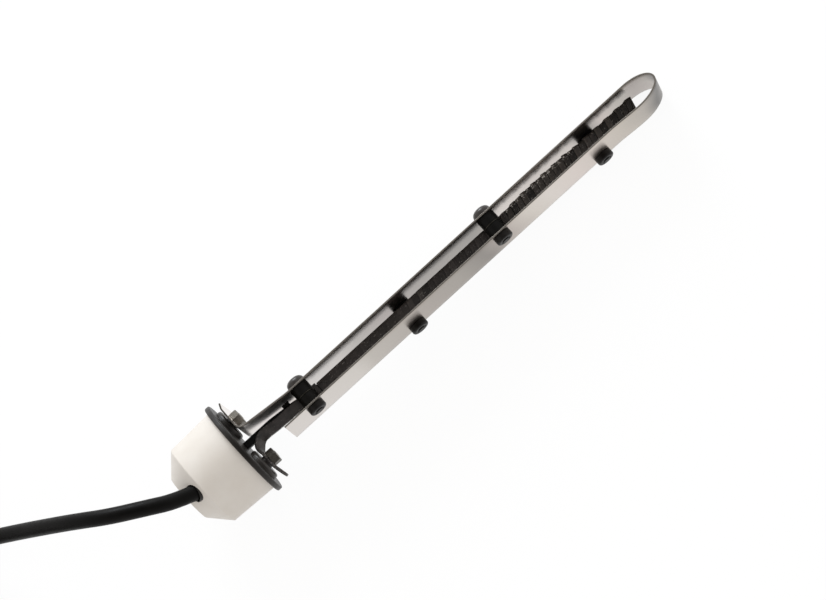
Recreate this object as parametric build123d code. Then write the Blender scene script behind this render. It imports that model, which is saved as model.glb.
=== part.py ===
from build123d import *
import os
from math import asin, cos, degrees, pi, radians, sin, tan

# Submersible heater with an open element. All sizes are in millimetres.
# Heater frame: origin at the middle of the seal flange, +X along the element towards the tip,
# +Y from the feed terminal to the return terminal, +Z across the width of the hairpin strip.
# floor_seat() sets the finished heater down; the cord's route is in that floor frame.

# ---- driving dimensions ------------------------------------------------------------------
FLANGE_R = 25.0
FLANGE_T = 2.6
RIM_ROUND = 0.7
SEAT_DEPTH = 0.5  # recess in the disc's back that locates the cap's mouth and the plate

CAP_R_MOUTH = 22.5
CAP_R_CREASE = 21.6
CAP_R_END = 11.8
CREASE_X = -24.8
CAP_END_X = -33.7
CAP_WALL = 2.6

PLATE_R = 19.7
PLATE_T = 4.5

STRIP_W = 25.0
STRIP_T = 0.8
LEG_GAP = 10.6  # between the inner faces of the two legs
RETURN_Y = 2.1  # middle of the return leg
FEED_Y = RETURN_Y - LEG_GAP - STRIP_T  # middle of the free leg
LEG_END_X = 21.0
LOOP_X = 237.3
TIP_X = 251.0
LOOP_SPREAD = 0.8  # how far the free leg bows out before the loop

TERMINAL_Y = 12.3
TAB_X = 4.9  # middle of the strip where the nut clamps it
TAB_END_Y = 19.8
TAB_CURL = 1.1
ROOT_RISE, ROOT_BEND = 2.6, 3.0  # where the tab turns into the return leg
STUD_R = 2.0
STUD_BACK_X = -12.6
WASHER_R = 8.0
WASHER_T = 2.3
SPACER_R = 3.2
CLAMP_NUT_AF = 7.0
CLAMP_NUT_T = 3.6
BACK_NUT_T = 3.2
LOCK_NUT_T = 2.6
RING_T = 0.8

ELEMENT_Y = -3.7
CORE_W, CORE_T = 5.2, 2.2
CORE_X0, CORE_X1 = 30.0, 236.0
SLEEVE_W, SLEEVE_T = 6.4, 3.6
SLEEVE_X0, SLEEVE_X1 = 44.5, 160.0
WIND_W, WIND_T = 7.2, 4.3
WIND_X1 = 237.0
RIB_PITCH = 3.3
RIB_W = 2.7
RIB_SKEW = -13.0  # degrees a wrapped turn leans across the flat of the bar

STRAP_W, STRAP_T = 5.4, 1.6
STRAP_END_X = 44.0
STRAP_LAP_Y = -3.0
STRAP_TURN_X, STRAP_TURN_Y = 11.7, -2.4  # where the lap ends and the quarter turn starts
STRAP_TAIL = (6.95, -23.4)
STRAP_TAIL_Y = -16.6  # below the nut, where the tail starts to lean out
STEM_W, STEM_T = 3.7, 1.9

CLIP_X = (37.8, 96.6, 152.0, 211.0)
CLIP_Z = (7.4, -7.4, 7.4, -7.4)  # the bar weaves in front of and behind the bushes
BUSH_R = 4.6
SCREW_R = 1.75
HEAD_R, HEAD_H = 4.6, 3.8
NUT_R, NUT_T = 4.35, 3.3

CORD_R = 3.75
GROMMET_R = 4.5
COIL_R = 39.5  # middle of the turns
COIL_TURN_GAP = 7.6
COIL_LAYERS = 3
COIL_CENTRE = (-315.5, 28.0)
COIL_IN_DEG, COIL_OUT_DEG = 92.0, 130.0
PLUG_Z = 12.5

ALONG_X = Plane.YZ.location  # local x, y, z become Y, Z, X
FROM_BASE = (Align.CENTER, Align.CENTER, Align.MIN)
FLANGE_FACE = FLANGE_T / 2
SEAT_X = -FLANGE_FACE + SEAT_DEPTH
PLATE_BACK = SEAT_X - PLATE_T
TILT = degrees(asin((FLANGE_R - STRIP_W / 2) / TIP_X))


# ---- small helpers -----------------------------------------------------------------------
def rod(radius, x0, x1, y=0.0, z=0.0):
    """A round bar along X from x0 to x1."""
    return ALONG_X * Pos(y, z, x0) * Cylinder(radius, x1 - x0, align=FROM_BASE)


def slab(x0, x1, y0, y1, z0, z1):
    """A square-edged bar between two corners."""
    return Pos((x0 + x1) / 2, (y0 + y1) / 2, (z0 + z1) / 2) * Box(x1 - x0, y1 - y0, z1 - z0)


def bar_along_x(width, thick, x0, x1, y, corner):
    """A flat bar along X with rounded edges, its width along Y and its thickness along Z."""
    outline = RectangleRounded(width, thick, corner)
    return extrude(ALONG_X * Pos(y, 0, x0) * outline, amount=x1 - x0)


def hex_nut(flats, x0, x1, y, z=0.0):
    """A chamfered hexagon nut along X, threaded bore left to the stud that fills it."""
    outline = RegularPolygon(flats / 2, 6, major_radius=False, rotation=30)
    prism = extrude(ALONG_X * Pos(y, z, x0) * outline, amount=x1 - x0)
    corner = flats / 2 / cos(radians(30))
    lead = corner - flats / 2
    blank = rod(corner, x0, x1, y, z)
    blank = chamfer(blank.edges().filter_by(GeomType.CIRCLE), lead * 0.9, lead * 0.55)
    return (prism & blank) - rod(STUD_R, x0 - 1, x1 + 1, y, z)


# ---- rear cap, cord exit and what is inside ----------------------------------------------
BORE_MOUTH = (-29.2, -4.62, 16.1)
BORE_WAY = (-0.8673, 0.1433, 0.4766)


def bore_axis():
    """The cord hole: its mouth on the cap's shoulder, and the way the cord leaves."""
    return Vector(*BORE_MOUTH), Vector(*BORE_WAY).normalized()


def on_bore():
    """A location whose +Z runs out of the cord hole, with its origin at the mouth."""
    mouth, way = bore_axis()
    return Plane(origin=mouth, z_dir=way).location


def bored(radius, t0, t1):
    """A round bar along the cord hole's axis from depth t0 to t1, outwards positive."""
    return on_bore() * Pos(0, 0, t0) * Cylinder(radius, t1 - t0, align=FROM_BASE)


BOSS_R = 8.0
BOSS_DEPTH = -5.6
COLLAR_R = 6.4  # the grommet's collar behind the boss
COLLAR_BACK = -7.2
CLAMP_T0, CLAMP_T1 = -12.0, -7.9
CLAMP_HALF_W, CLAMP_HALF_H, CLAMP_GAP = 6.0, 4.6, 0.5
CLAMP_SCREW_OFFSET = 4.7
CLAMP_SCREW_R = 0.8
CLAMP_HEAD_R, CLAMP_HEAD_H = 1.2, 1.0
CLAMP_ROOM = 6.0  # depth of the pocket the clamp sits in


def clamp_pocket():
    """The pocket inside the cap for the cord clamp and its screw heads."""
    width = 2 * CLAMP_HALF_W + 0.4
    low, high = -CLAMP_HALF_H - CLAMP_HEAD_H - 0.3, CLAMP_HALF_H + 0.2
    block = Pos(0, (low + high) / 2, 0) * Box(width, high - low, CLAMP_ROOM)
    block = fillet(block.edges().filter_by(Axis.Z), 1.3)
    return on_bore() * Pos(0, 0, CLAMP_T1 + 0.2 - CLAMP_ROOM / 2) * block


def cap_housing():
    """Moulded cap: tapered side, conical shoulder, flat end, with a boss round the cord hole."""
    outer = make_face(
        Polyline(
            (SEAT_X, 0), (SEAT_X, CAP_R_MOUTH), (CREASE_X, CAP_R_CREASE),
            (CAP_END_X, CAP_R_END), (CAP_END_X, 0), close=True,
        )
    )
    inner = make_face(
        Polyline(
            (SEAT_X + 1, 0), (SEAT_X + 1, PLATE_R + 0.1), (PLATE_BACK, PLATE_R + 0.1),
            (PLATE_BACK, PLATE_R - 1.2), (CREASE_X + 1.1, CAP_R_CREASE - CAP_WALL - 0.3),
            (CAP_END_X + CAP_WALL, CAP_R_END - 1.1), (CAP_END_X + CAP_WALL, 0), close=True,
        )
    )
    body = revolve(outer, Axis.X)
    shoulder = [e for e in body.edges().filter_by(GeomType.CIRCLE) if e.center().X < CREASE_X + 1]
    body = fillet(shoulder, 0.8)
    boss = bored(BOSS_R, BOSS_DEPTH, 3.0) & body
    body = body - revolve(inner, Axis.X) + boss - bored(GROMMET_R, -20, 12)
    return body - clamp_pocket() - bored(COLLAR_R + 0.1, -20, BOSS_DEPTH)


def cord_grommet():
    """Rubber bush in the cord hole, with a collar behind the boss and a bell mouth outside."""
    profile = make_face(
        Polyline(
            (CORD_R, COLLAR_BACK), (COLLAR_R, COLLAR_BACK), (COLLAR_R, BOSS_DEPTH), (GROMMET_R, BOSS_DEPTH),
            (GROMMET_R, -0.6), (GROMMET_R - 0.25, -0.6), (CORD_R, -2.6), close=True,
        )
    )
    return on_bore() * revolve(Plane.XZ * profile, Axis.Z)


def strain_clamp(side):
    """One half of the cord clamp behind the grommet; side is +1 or -1."""
    depth = CLAMP_T1 - CLAMP_T0
    height = CLAMP_HALF_H - CLAMP_GAP / 2
    block = Box(2 * CLAMP_HALF_W, height, depth)
    block = fillet(block.edges().filter_by(Axis.Z), 1.2)
    middle = (CLAMP_T0 + CLAMP_T1) / 2
    half = on_bore() * Pos(0, side * (CLAMP_GAP / 2 + height / 2), middle) * block
    for x in (-CLAMP_SCREW_OFFSET, CLAMP_SCREW_OFFSET):
        half -= on_bore() * Pos(x, 0, middle) * Rot(90, 0, 0) * Cylinder(CLAMP_SCREW_R, 3 * CLAMP_HALF_H)
    return half - bored(CORD_R, CLAMP_T0 - 1, CLAMP_T1 + 1)


def clamp_screws():
    """The two screws that draw the clamp's halves together."""
    middle = (CLAMP_T0 + CLAMP_T1) / 2
    length = 2 * CLAMP_HALF_H
    screws = []
    for x in (-CLAMP_SCREW_OFFSET, CLAMP_SCREW_OFFSET):
        shank = Cylinder(CLAMP_SCREW_R, length)
        head = Pos(0, 0, (length + CLAMP_HEAD_H) / 2) * Cylinder(CLAMP_HEAD_R, CLAMP_HEAD_H)
        screws.append(on_bore() * Pos(x, 0, middle) * Rot(90, 0, 0) * (shank + head))
    return Compound(screws)


def terminal_plate():
    """Insulating plate behind the seal: it carries both studs and the element's stem."""
    plate = rod(PLATE_R, PLATE_BACK, SEAT_X)
    for y in (-TERMINAL_Y, TERMINAL_Y):
        plate -= rod(STUD_R, -20, 5, y)
    return plate - stem_bar(-20, 5)


def seal_flange():
    """Rubber seal disc with a rounded rim, holed for the studs and the stem."""
    disc = rod(FLANGE_R, -FLANGE_FACE, FLANGE_FACE)
    disc = fillet(disc.edges().filter_by(GeomType.CIRCLE), RIM_ROUND)
    disc -= rod(CAP_R_MOUTH + 0.05, -FLANGE_FACE - 1, SEAT_X)
    for y in (-TERMINAL_Y, TERMINAL_Y):
        disc -= rod(STUD_R, -5, 5, y)
    return disc - stem_bar(-5, 5)


# ---- terminals ---------------------------------------------------------------------------
TAB_FRONT = TAB_X + STRIP_T / 2
TAB_BACK = TAB_X - STRIP_T / 2
FEED_TAB_FRONT = TAB_BACK + STRAP_T


def stud(y, top):
    """Terminal stud, its end just proud of the clamp nut."""
    return chamfer(rod(STUD_R, STUD_BACK_X, top, y).edges().filter_by(GeomType.CIRCLE), 0.3)


def terminal_washer(y):
    """Large insulating washer with a domed edge, round the stud."""
    washer = rod(WASHER_R, FLANGE_FACE, FLANGE_FACE + WASHER_T, y)
    washer = fillet(washer.edges().filter_by(GeomType.CIRCLE).sort_by(Axis.X)[-1], 1.2)
    return washer - rod(STUD_R, 0, 9, y)


def spacer_nut(y):
    """Round nut that lifts the tab off the washer."""
    nut = rod(SPACER_R, FLANGE_FACE + WASHER_T, TAB_BACK, y)
    return nut - rod(STUD_R, 0, 9, y)


def clamp_nut(y, x0):
    """Hexagon nut on top of a tab."""
    return hex_nut(CLAMP_NUT_AF, x0, x0 + CLAMP_NUT_T, y)


RING_FRONT = PLATE_BACK - BACK_NUT_T
BARREL_R, BARREL_Z0, BARREL_Z1 = 1.6, 4.6, 9.6


def back_nut(y):
    """Nut that clamps the stud from behind the plate."""
    return hex_nut(CLAMP_NUT_AF, RING_FRONT, PLATE_BACK, y)


def lock_nut(y):
    """Nut that holds the ring terminal."""
    return hex_nut(CLAMP_NUT_AF, RING_FRONT - RING_T - LOCK_NUT_T, RING_FRONT - RING_T, y)


def ring_terminal(y):
    """Crimped ring terminal: flat ring on the stud, neck and barrel pointing across."""
    middle = RING_FRONT - RING_T / 2
    ring = rod(4.0, RING_FRONT - RING_T, RING_FRONT, y)
    neck = slab(RING_FRONT - RING_T, RING_FRONT, y - 1.4, y + 1.4, 0, BARREL_Z0 + 0.4)
    barrel = Pos(middle, y, BARREL_Z0) * Cylinder(BARREL_R, BARREL_Z1 - BARREL_Z0, align=FROM_BASE)
    return ring + neck + barrel - rod(STUD_R, -20, 0, y)


LEAD_R = 1.2


def inner_lead(y):
    """Insulated lead from the cord's end to a ring terminal's barrel."""
    mouth, way = bore_axis()
    side = (Vector(0, 1, 0) - way * way.Y).normalized() * (1.7 if y > 0 else -1.7)
    cord_end = mouth + way * (CLAMP_T0 - 0.5) + side
    barrel_top = Vector(RING_FRONT - RING_T / 2, y, BARREL_Z1)
    knee_a = cord_end - way * 3.2
    knee_b = barrel_top + Vector(0, 0, 3.0)
    path = FilletPolyline(cord_end, knee_a, knee_b, barrel_top, radius=1.6)
    return sweep(Plane(origin=path @ 0, z_dir=path % 0) * Circle(LEAD_R), path=path)


# ---- hairpin strip, feed strap and stem --------------------------------------------------
def hairpin_strip():
    """One strip bent into a terminal tab, the return leg, the round tip and the free leg."""
    root = (TAB_X, RETURN_Y + ROOT_RISE)
    tab_flat = (TAB_X, TERMINAL_Y + 4.9)
    tab_end = (TAB_X + TAB_CURL, TAB_END_Y)
    leg_start = (CLIP_X[0] - 6, RETURN_Y)
    return_end = (LOOP_X, RETURN_Y)
    free_y = FEED_Y - LOOP_SPREAD
    half_loop = (RETURN_Y - free_y) / 2
    pinch = (CLIP_X[3] + 8, FEED_Y)
    front = FilletPolyline(tab_end, tab_flat, root, leg_start, return_end, radius=[3, ROOT_BEND, 40])
    loop = EllipticalCenterArc(
        (LOOP_X, RETURN_Y - half_loop), TIP_X - LOOP_X, half_loop, start_angle=-90, arc_size=180
    )
    back = Spline((LOOP_X, free_y), pinch, tangents=[(-1, 0), (-1, 0)])
    free = Line(pinch, (LEG_END_X, FEED_Y))
    path = Wire([*front.edges(), *loop.edges(), *back.edges(), *free.edges()])
    start = Plane(origin=path @ 0, z_dir=path % 0, x_dir=(0, 0, 1))
    strip = sweep(start * Rectangle(STRIP_W, STRIP_T), path=path, transition=Transition.RIGHT)
    for x, z in zip(CLIP_X, CLIP_Z):
        strip -= across(SCREW_R, x, z, FEED_Y - 3, RETURN_Y + 3)
    return strip - rod(STUD_R, 0, 9, TERMINAL_Y)


STEM_Y = 0.4
STEM_CRANK_X0, STEM_CRANK_X1 = 17.0, 31.5
STEM_END_X = 40.0
STEM_Z0, STEM_Z1 = -CORE_T / 2 - STEM_T, -CORE_T / 2


def stem_bar(x0, x1):
    """The stem's section: a flat bar behind the element's core."""
    return slab(x0, x1, STEM_Y - STEM_W / 2, STEM_Y + STEM_W / 2, STEM_Z0, STEM_Z1)


def centre_stem():
    """Carrier stem from the terminal plate, cranked over to lap behind the core's end."""
    straight = stem_bar(PLATE_BACK, STEM_CRANK_X0)
    low, high = ELEMENT_Y - CORE_W / 2 + 0.6, ELEMENT_Y + CORE_W / 2 - 0.4
    outline = make_face(
        Polyline(
            (STEM_CRANK_X0, STEM_Y - STEM_W / 2), (STEM_CRANK_X1, low), (STEM_END_X, low),
            (STEM_END_X, high), (STEM_CRANK_X1, high + 2.4),
            (STEM_CRANK_X0, STEM_Y + STEM_W / 2), close=True,
        )
    )
    crank = Pos(0, 0, STEM_Z0) * extrude(outline, amount=STEM_T)
    return straight + crank


def stem_collar():
    """Small insulating collar between the stem and the return leg."""
    block = slab(25.7, 29.4, 0.35, RETURN_Y - STRIP_T / 2, -CORE_T / 2, 3.0)
    return fillet(block.edges().filter_by(Axis.Z), 0.4)


def turned_section(angle):
    """The strap's section partway through its quarter turn: it swings round and rolls on edge."""
    t = radians(angle)
    radius = STRAP_TURN_X - (TAB_BACK + STRAP_T / 2)
    z_lap = (CORE_T + STRAP_T) / 2
    middle = (STRAP_TURN_X - radius * sin(t), STRAP_TURN_Y - radius * (1 - cos(t)), z_lap)
    across_way = (-cos(t) * sin(t), cos(t) ** 2, sin(t))
    return Plane(origin=middle, x_dir=across_way, z_dir=(-cos(t), -sin(t), 0)) * Rectangle(STRAP_W, STRAP_T)


def feed_strap():
    """Flat strap from the core, turned on edge in a quarter turn and laid under the feed nut."""
    z_lap = (CORE_T + STRAP_T) / 2
    lap_path = Wire([
        *Spline((STRAP_TURN_X, STRAP_TURN_Y), (20.5, STRAP_LAP_Y), tangents=[(1, 0), (1, 0)]).edges(),
        *Line((20.5, STRAP_LAP_Y), (STRAP_END_X, STRAP_LAP_Y)).edges(),
    ])
    lap_section = Plane(origin=lap_path @ 0, x_dir=(0, 1, 0), z_dir=(1, 0, 0)) * Rectangle(STRAP_W, STRAP_T)
    lap = Pos(0, 0, z_lap) * sweep(lap_section, path=lap_path)
    turn = loft([turned_section(angle) for angle in range(0, 91, 15)])

    x_flat = TAB_BACK + STRAP_T / 2
    y_flat = STRAP_TURN_Y - (STRAP_TURN_X - x_flat)
    tail_path = FilletPolyline((x_flat, y_flat), (x_flat, STRAP_TAIL_Y), STRAP_TAIL, radius=6)
    section = Plane(origin=tail_path @ 0, x_dir=(0, 0, 1), z_dir=(0, -1, 0)) * Rectangle(
        STRAP_W + 2 * z_lap, STRAP_T
    )
    foot = sweep(section, path=tail_path)
    half, end_y = STRAP_W / 2, STRAP_TAIL[1] - 1
    outline = make_face(
        Polyline(
            (y_flat + 0.01, z_lap - half), (y_flat + 0.01, z_lap + half), (-TERMINAL_Y, half),
            (end_y + 4.0, half - 0.5), (end_y, 0.9), (end_y, -0.9), (end_y + 4.0, -half + 0.5),
            (-TERMINAL_Y, -half), close=True,
        )
    )
    foot = foot & extrude(Plane.YZ.offset(TAB_BACK - 1) * outline, amount=8)
    return lap + turn + foot - rod(STUD_R, 0, 12, -TERMINAL_Y)


# ---- element bar -------------------------------------------------------------------------
def element_core():
    """Flat carrier bar down the middle of the hairpin."""
    return bar_along_x(CORE_W, CORE_T, CORE_X0, CORE_X1, ELEMENT_Y, 0.6)


def element_sleeve():
    """Smooth sleeve over the core's first stretch."""
    sleeve = bar_along_x(SLEEVE_W, SLEEVE_T, SLEEVE_X0, SLEEVE_X1, ELEMENT_Y, 1.2)
    return sleeve - bar_along_x(CORE_W, CORE_T, SLEEVE_X0 - 1, SLEEVE_X1 + 1, ELEMENT_Y, 0.6)


def element_winding():
    """Flat tape wrapped round the core: each turn leans, and every second one lies over its neighbour."""
    wound = bar_along_x(WIND_W - 0.9, WIND_T - 0.7, SLEEVE_X1, WIND_X1 + 2, ELEMENT_Y, 1.1)
    count = int((WIND_X1 - SLEEVE_X1) // RIB_PITCH)
    for i in range(count):
        middle = SLEEVE_X1 + 0.7 + RIB_PITCH * (i + 0.5)
        proud = 0.25 if i % 2 else 0.0
        turn = extrude(
            ALONG_X * Pos(0, 0, -RIB_W / 2) * RectangleRounded(WIND_W - 0.25 + proud, WIND_T - 0.1, 1.3),
            amount=RIB_W,
        )
        wound += Pos(middle, ELEMENT_Y, 0) * Rot(0, 0, RIB_SKEW) * turn
    beyond = Box(12, 30, 10, align=(Align.MIN, Align.CENTER, Align.CENTER))
    wound -= Pos(WIND_X1, ELEMENT_Y, 0) * Rot(0, 0, RIB_SKEW) * beyond
    return wound - bar_along_x(CORE_W, CORE_T, SLEEVE_X1 - 3, CORE_X1, ELEMENT_Y, 0.6)


# ---- clips -------------------------------------------------------------------------------
def across(radius, x, z, y0, y1):
    """A round bar along Y from y0 to y1."""
    return Pos(x, (y0 + y1) / 2, z) * Rot(90, 0, 0) * Cylinder(radius, y1 - y0)


OUTER_RETURN = RETURN_Y + STRIP_T / 2
OUTER_FREE = FEED_Y - STRIP_T / 2


def spacer_bush(x, z):
    """Round spacer between the two legs."""
    bush = across(BUSH_R, x, z, FEED_Y + STRIP_T / 2, RETURN_Y - STRIP_T / 2)
    return bush - across(SCREW_R, x, z, FEED_Y - 5, RETURN_Y + 5)


def clip_screw(x, z):
    """Domed screw through leg, bush and leg."""
    head = across(HEAD_R, x, z, OUTER_RETURN, OUTER_RETURN + HEAD_H)
    head = fillet(head.edges().filter_by(GeomType.CIRCLE).sort_by(Axis.Y)[-1], 2.3)
    shank = across(SCREW_R, x, z, OUTER_FREE - NUT_T - 0.4, OUTER_RETURN + 1)
    return head + shank


def clip_nut(x, z):
    """Round nut with a softened outer edge."""
    nut = across(NUT_R, x, z, OUTER_FREE - NUT_T, OUTER_FREE)
    nut = fillet(nut.edges().filter_by(GeomType.CIRCLE).sort_by(Axis.Y)[0], 1.0)
    return nut - across(SCREW_R, x, z, FEED_Y - 6, FEED_Y)


# ---- free cord, in the floor frame -------------------------------------------------------
CORD_ROUTE = [
    (-156.8, 3.1, 52.7), (-171.5, 11.5, 53.8), (-185.1, 22.1, 48.6), (-198.2, 32.9, 38.0),
    (-212.4, 44.5, 25.8), (-227.8, 56.1, 15.2), (-244.7, 65.4, 8.1),
]


def on_ring(radius, angle, z):
    """A point on one of the coil's turns."""
    return Vector(
        COIL_CENTRE[0] + radius * cos(radians(angle)), COIL_CENTRE[1] + radius * sin(radians(angle)), z
    )


def heading(angle):
    """The way a turn runs at an angle round the coil."""
    return Vector(-sin(radians(angle)), cos(radians(angle)), 0)


OUTER_TURN = COIL_R + COIL_TURN_GAP / 2 - 0.15
FLOOR_Z = CORD_R + 0.1  # the cord's middle where it lies on the floor
STUB = 27.5
LAST_RUN = 20.0
PLUG_RELIEF_L, PLUG_BODY_L, PIN_L = 28.0, 34.0, 19.0
TAIL = 30.0


def coil_entry():
    """Where the cord meets the coil's straight lead-in."""
    return on_ring(OUTER_TURN, COIL_IN_DEG, FLOOR_Z) - heading(COIL_IN_DEG) * STUB


def plug_entry():
    """Where the cord goes into the plug's strain relief."""
    out = on_ring(OUTER_TURN, COIL_OUT_DEG, 0) + heading(COIL_OUT_DEG) * TAIL
    return Vector(out.X, out.Y, PLUG_Z)


def straight_cord(start, end):
    """A straight stretch of cord."""
    way = end - start
    return extrude(Plane(origin=start, z_dir=way) * Circle(CORD_R), amount=way.length)


def cord_coil():
    """The wound length as one ring of its outer shape, with its straight lead-in and lead-out."""
    half_w = COIL_TURN_GAP / 2 + CORD_R
    height = 2 * CORD_R * COIL_LAYERS
    outline = Pos(COIL_R, height / 2) * RectangleRounded(2 * half_w, height, CORD_R - 0.75)
    ring = Pos(*COIL_CENTRE, 0) * revolve(Plane.XZ * outline, Axis.Z)
    lead_in = straight_cord(coil_entry(), on_ring(OUTER_TURN, COIL_IN_DEG, FLOOR_Z))
    top = height - FLOOR_Z
    lead_out = straight_cord(on_ring(OUTER_TURN, COIL_OUT_DEG, top), plug_entry())
    return ring + lead_in + lead_out


def corner_radii(points):
    """For each corner, 0.45 of the shorter run over the tangent of half the turn."""
    radii = []
    for a, b, c in zip(points, points[1:], points[2:]):
        before, after = b - a, c - b
        half_turn = radians(before.get_angle(after)) / 2
        radii.append(0.45 * min(before.length, after.length) / tan(half_turn))
    return radii


def cord_tube(route):
    """The cord from the clamp, through the grommet and down to the coil."""
    radii = corner_radii(route)
    print("cord radii", [round(r, 1) for r in radii])
    path = FilletPolyline(*route, radius=radii)
    tube = sweep(Plane(origin=path @ 0, z_dir=path % 0) * Circle(CORD_R), path=path)
    ratio = tube.volume / (pi * CORD_R**2 * path.length)
    print("cord tube", round(path.length, 1), "volume ratio", round(ratio, 4))
    return tube


def on_plug():
    """A location at the strain relief's small end, with +Z towards the pins and +Y up."""
    way = heading(COIL_OUT_DEG)
    return Plane(origin=plug_entry(), x_dir=way.cross(Vector(0, 0, 1)), z_dir=way).location


PLUG_W, PLUG_H = 36.0, 25.0
PLUG_BACK_W, PLUG_BACK_H = 20.0, 17.0
PLUG_SWELL_L = 14.0  # how far in front of the relief the body reaches its full width
RELIEF_R = 8.0
RIB_GAP, RIB_STEP, RIB_START, RIB_COUNT = 1.6, 5.5, 5.0, 4
PIN_R, PIN_SPACING = 2.4, 19.0


def plug_body():
    """Moulded plug: ribbed strain relief that grows into a rounded body."""
    relief = Cone(CORD_R + 1.2, RELIEF_R, PLUG_RELIEF_L, align=FROM_BASE)
    for i in range(RIB_COUNT):
        inner = Cylinder(CORD_R + 0.9 + 0.5 * i, RIB_GAP)
        relief -= Pos(0, 0, RIB_START + RIB_STEP * i) * (Cylinder(RELIEF_R + 2, RIB_GAP) - inner)
    back = Pos(0, 0, PLUG_RELIEF_L) * RectangleRounded(PLUG_BACK_W, PLUG_BACK_H, 7)
    middle = Pos(0, 0, PLUG_RELIEF_L + PLUG_SWELL_L) * RectangleRounded(PLUG_W, PLUG_H, 9)
    body = loft([back, middle]) + extrude(middle, amount=PLUG_BODY_L - PLUG_SWELL_L)
    front = body.faces().sort_by(Axis.Z)[-1]
    body = fillet(front.edges(), 1.5)
    entry = Cylinder(CORD_R + 0.6, 2)
    return on_plug() * (relief + body - entry)


def plug_pins():
    """Two round pins."""
    pins = []
    for side in (-1, 1):
        start = PLUG_RELIEF_L + PLUG_BODY_L
        pin = Pos(side * PIN_SPACING / 2, 0, start) * Cylinder(PIN_R, PIN_L, align=FROM_BASE)
        tip = pin.edges().filter_by(GeomType.CIRCLE).sort_by(Axis.Z)[-1]
        pins.append(on_plug() * fillet(tip, 1.4))
    return Compound(pins)


# ---- assembly ----------------------------------------------------------------------------
def heater_pieces():
    """Every piece of the heater itself, in the heater frame."""
    pieces = {
        "cap_housing": cap_housing(),
        "cord_grommet": cord_grommet(),
        "strain_clamp_upper": strain_clamp(1),
        "strain_clamp_lower": strain_clamp(-1),
        "clamp_screws": clamp_screws(),
        "terminal_plate": terminal_plate(),
        "seal_flange": seal_flange(),
        "hairpin_strip": hairpin_strip(),
        "centre_stem": centre_stem(),
        "stem_collar": stem_collar(),
        "feed_strap": feed_strap(),
        "element_core": element_core(),
        "element_sleeve": element_sleeve(),
        "element_winding": element_winding(),
    }
    tops = {"return": (TERMINAL_Y, TAB_FRONT), "feed": (-TERMINAL_Y, FEED_TAB_FRONT)}
    for name, (y, nut_x) in tops.items():
        pieces[f"{name}_stud"] = stud(y, nut_x + CLAMP_NUT_T + 0.3)
        pieces[f"{name}_washer"] = terminal_washer(y)
        pieces[f"{name}_spacer_nut"] = spacer_nut(y)
        pieces[f"{name}_clamp_nut"] = clamp_nut(y, nut_x)
        pieces[f"{name}_back_nut"] = back_nut(y)
        pieces[f"{name}_lock_nut"] = lock_nut(y)
        pieces[f"{name}_ring_terminal"] = ring_terminal(y)
        pieces[f"{name}_lead"] = inner_lead(y)
    for i, (x, z) in enumerate(zip(CLIP_X, CLIP_Z), start=1):
        pieces[f"spacer_bush_{i}"] = spacer_bush(x, z)
        pieces[f"clip_screw_{i}"] = clip_screw(x, z)
        pieces[f"clip_nut_{i}"] = clip_nut(x, z)
    return pieces


def floor_seat(pieces):
    """Tips the heater down on to the strip's tip and centres it over the floor."""
    tipped = Rot(0, TILT, 0)
    widest = [tipped * pieces[n] for n in ("cap_housing", "seal_flange", "hairpin_strip")]
    box = Compound(widest).bounding_box()
    centre = box.center()
    return Pos(-centre.X, -centre.Y, -box.min.Z) * tipped


def main():
    os.makedirs("parts", exist_ok=True)
    pieces = heater_pieces()
    seat = floor_seat(pieces)
    placed = {name: seat * piece for name, piece in pieces.items()}

    mouth, way = bore_axis()
    ends = [(seat * Pos(*(mouth + way * t))).position for t in (CLAMP_T0 - 0.5, 7.5)]
    print("cord starts", [tuple(round(v, 2) for v in end) for end in ends])
    last = coil_entry()
    route = ends + [Vector(*point) for point in CORD_ROUTE]
    route += [last - heading(COIL_IN_DEG) * LAST_RUN, last]
    placed["cord_tube"] = cord_tube(route)
    placed["cord_coil"] = cord_coil()
    placed["plug_body"] = plug_body()
    placed["plug_pins"] = plug_pins()

    for name, piece in placed.items():
        export_step(piece, f"parts/{name}.step")


main()
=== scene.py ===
from math import asin, cos, pi, radians, sin

import bpy
import numpy as np
from mathutils import Matrix, Vector


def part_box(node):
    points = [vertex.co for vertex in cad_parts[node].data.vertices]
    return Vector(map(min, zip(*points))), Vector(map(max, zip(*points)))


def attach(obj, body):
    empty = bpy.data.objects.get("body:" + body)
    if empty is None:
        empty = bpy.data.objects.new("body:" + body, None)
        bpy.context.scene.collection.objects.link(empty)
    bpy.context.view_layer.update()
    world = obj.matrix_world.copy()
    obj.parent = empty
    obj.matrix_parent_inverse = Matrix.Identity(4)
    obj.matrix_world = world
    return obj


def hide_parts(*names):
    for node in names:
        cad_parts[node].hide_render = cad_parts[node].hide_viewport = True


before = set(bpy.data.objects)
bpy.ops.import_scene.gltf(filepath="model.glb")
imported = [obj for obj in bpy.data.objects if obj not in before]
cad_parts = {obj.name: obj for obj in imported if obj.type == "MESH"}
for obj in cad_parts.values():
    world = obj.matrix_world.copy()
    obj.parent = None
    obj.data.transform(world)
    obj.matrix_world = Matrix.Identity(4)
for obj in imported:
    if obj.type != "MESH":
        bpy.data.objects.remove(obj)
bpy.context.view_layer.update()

# ---- heater frame ------------------------------------------------------------------------
# Lengths are written in millimetres in the heater's own frame: origin in the middle of the
# seal disc, +X towards the tip, +Y from the feed terminal to the return terminal, +Z across
# the strip's width. The heater lies tipped by TILT on the floor.
MM = 0.001
FLANGE_R = 25.0
STRIP_W, STRIP_T = 25.0, 0.8
TIP_X = 251.0
TILT = asin((FLANGE_R - STRIP_W / 2) / TIP_X)
LOW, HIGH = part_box("seal_flange")
MIDDLE = np.array((LOW + HIGH) / 2)
TURN = np.array([[cos(TILT), 0, sin(TILT)], [0, 1, 0], [-sin(TILT), 0, cos(TILT)]])


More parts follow.
